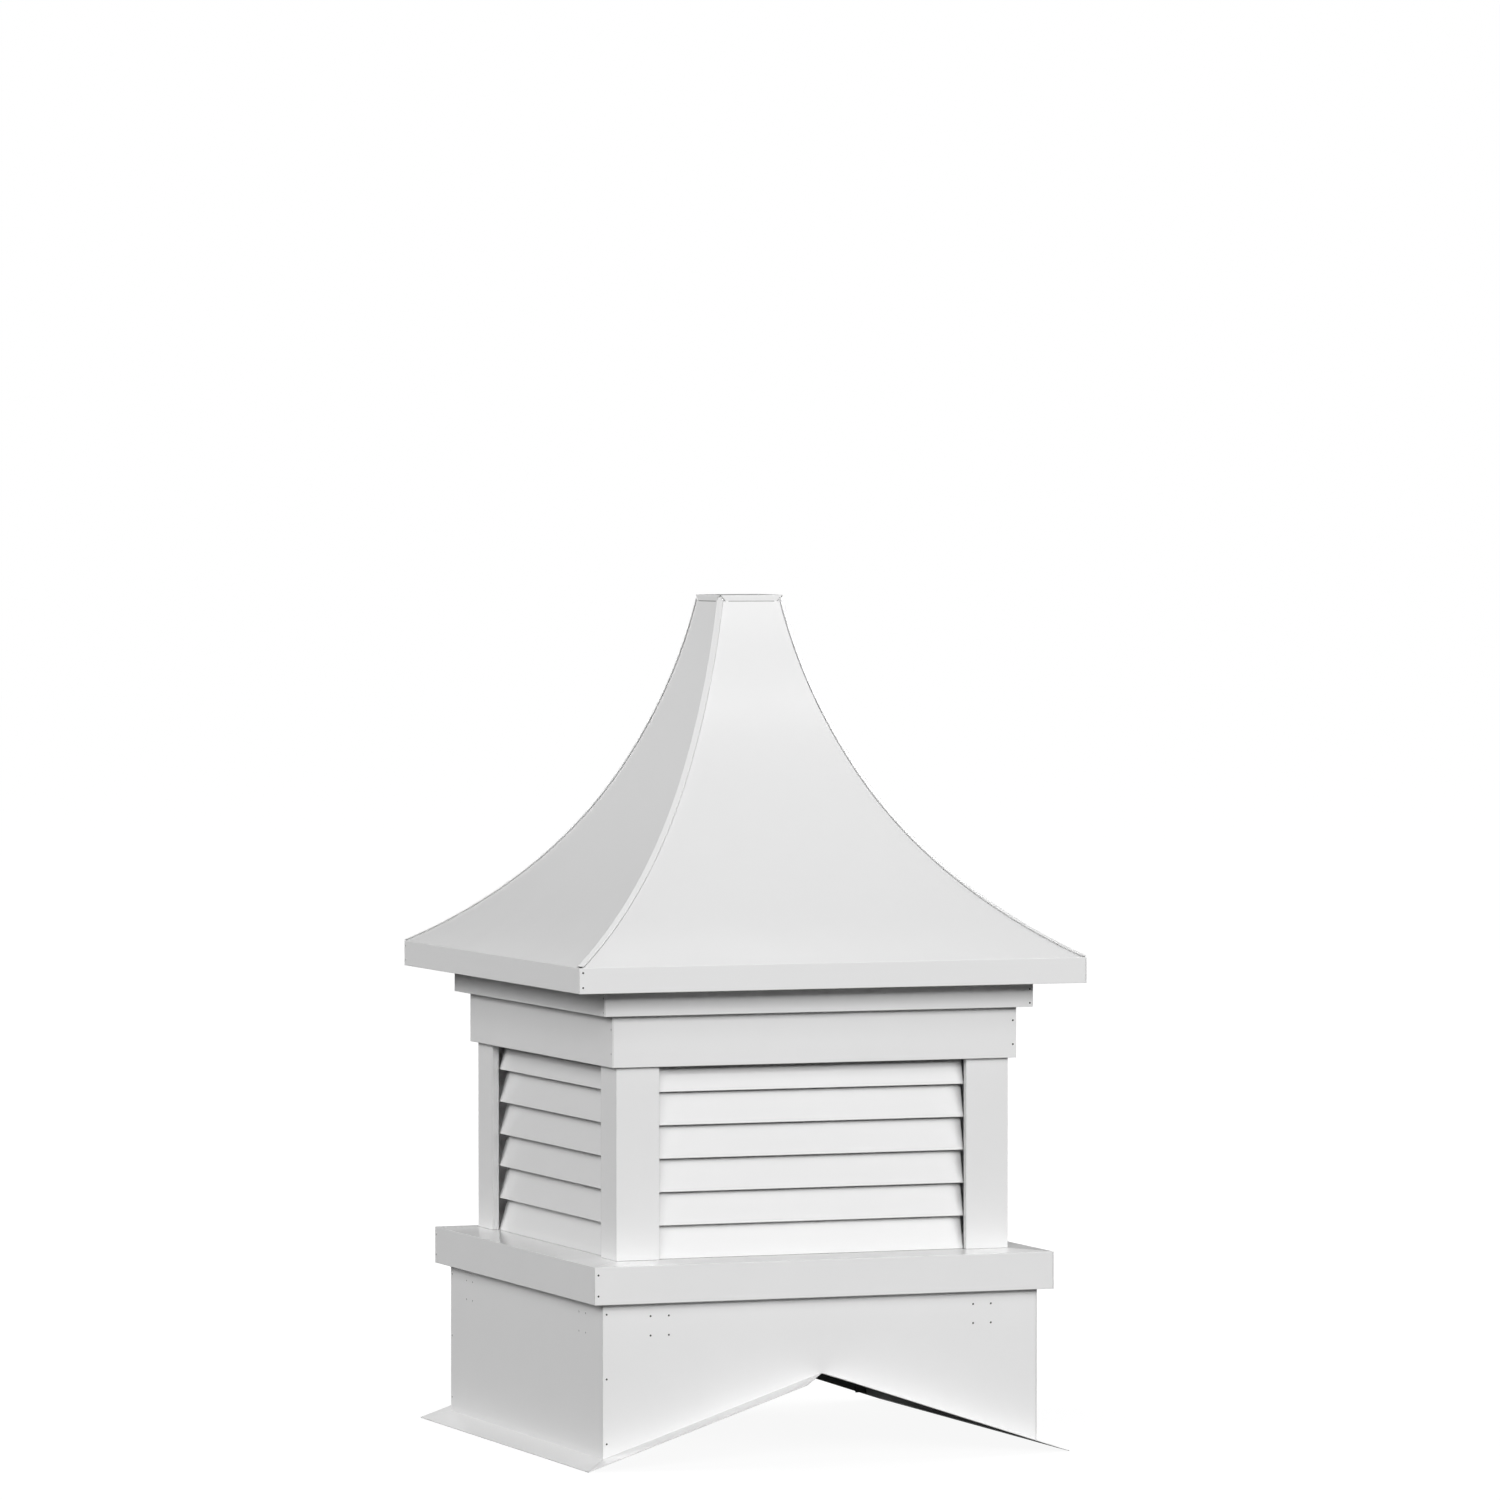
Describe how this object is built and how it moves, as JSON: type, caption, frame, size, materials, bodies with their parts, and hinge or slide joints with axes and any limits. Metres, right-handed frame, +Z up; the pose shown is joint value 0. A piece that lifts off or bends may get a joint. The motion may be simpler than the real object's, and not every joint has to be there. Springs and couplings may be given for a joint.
{
  "type": "louvred roof vent cupola",
  "caption": "Square louvred roof vent in white sheet metal: ridge-notched base, water-table trim, corner posts, banded cornice and a hollow-curved hipped roof with a small open collar.",
  "frame": {"origin": "under the middle of the part, level with the lowest edge of the roof flange", "axes": "+X along the front wall, -Y out of the front wall, +Z up"},
  "size_m": [1.0678, 1.0678, 1.6918],
  "materials": {
    "wall_sheet": "white powder coat, semi-gloss",
    "roof_sheet": "white powder coat, semi-gloss",
    "louvre_sheet": "white powder coat, semi-gloss",
    "inner_sheet": "mill finish"
  },
  "bodies": {
    "root": {"base_front": "wall_sheet", "base_back": "wall_sheet", "base_left": "wall_sheet", "base_right": "wall_sheet", "trim_front": "wall_sheet", "trim_back": "wall_sheet", "trim_left": "wall_sheet", "trim_right": "wall_sheet", "louvres_front": "louvre_sheet", "louvres_back": "louvre_sheet", "louvres_left": "louvre_sheet", "louvres_right": "louvre_sheet", "louvre_rails_front": "inner_sheet", "louvre_rails_back": "inner_sheet", "louvre_rails_left": "inner_sheet", "louvre_rails_right": "inner_sheet", "frieze_front": "wall_sheet", "frieze_back": "wall_sheet", "frieze_left": "wall_sheet", "frieze_right": "wall_sheet", "crown_front": "wall_sheet", "crown_back": "wall_sheet", "crown_left": "wall_sheet", "crown_right": "wall_sheet", "roof_panel_front": "roof_sheet", "roof_panel_back": "roof_sheet", "roof_panel_left": "roof_sheet", "roof_panel_right": "roof_sheet", "post_front_left": "wall_sheet", "post_front_right": "wall_sheet", "post_back_left": "wall_sheet", "post_back_right": "wall_sheet", "brackets_front_left": "inner_sheet", "brackets_front_right": "inner_sheet", "brackets_back_left": "inner_sheet", "brackets_back_right": "inner_sheet", "hip_cap_front_left": "roof_sheet", "hip_cap_front_right": "roof_sheet", "hip_cap_back_left": "roof_sheet", "hip_cap_back_right": "roof_sheet", "finial_plate": "inner_sheet"}
  },
  "joints": []
}
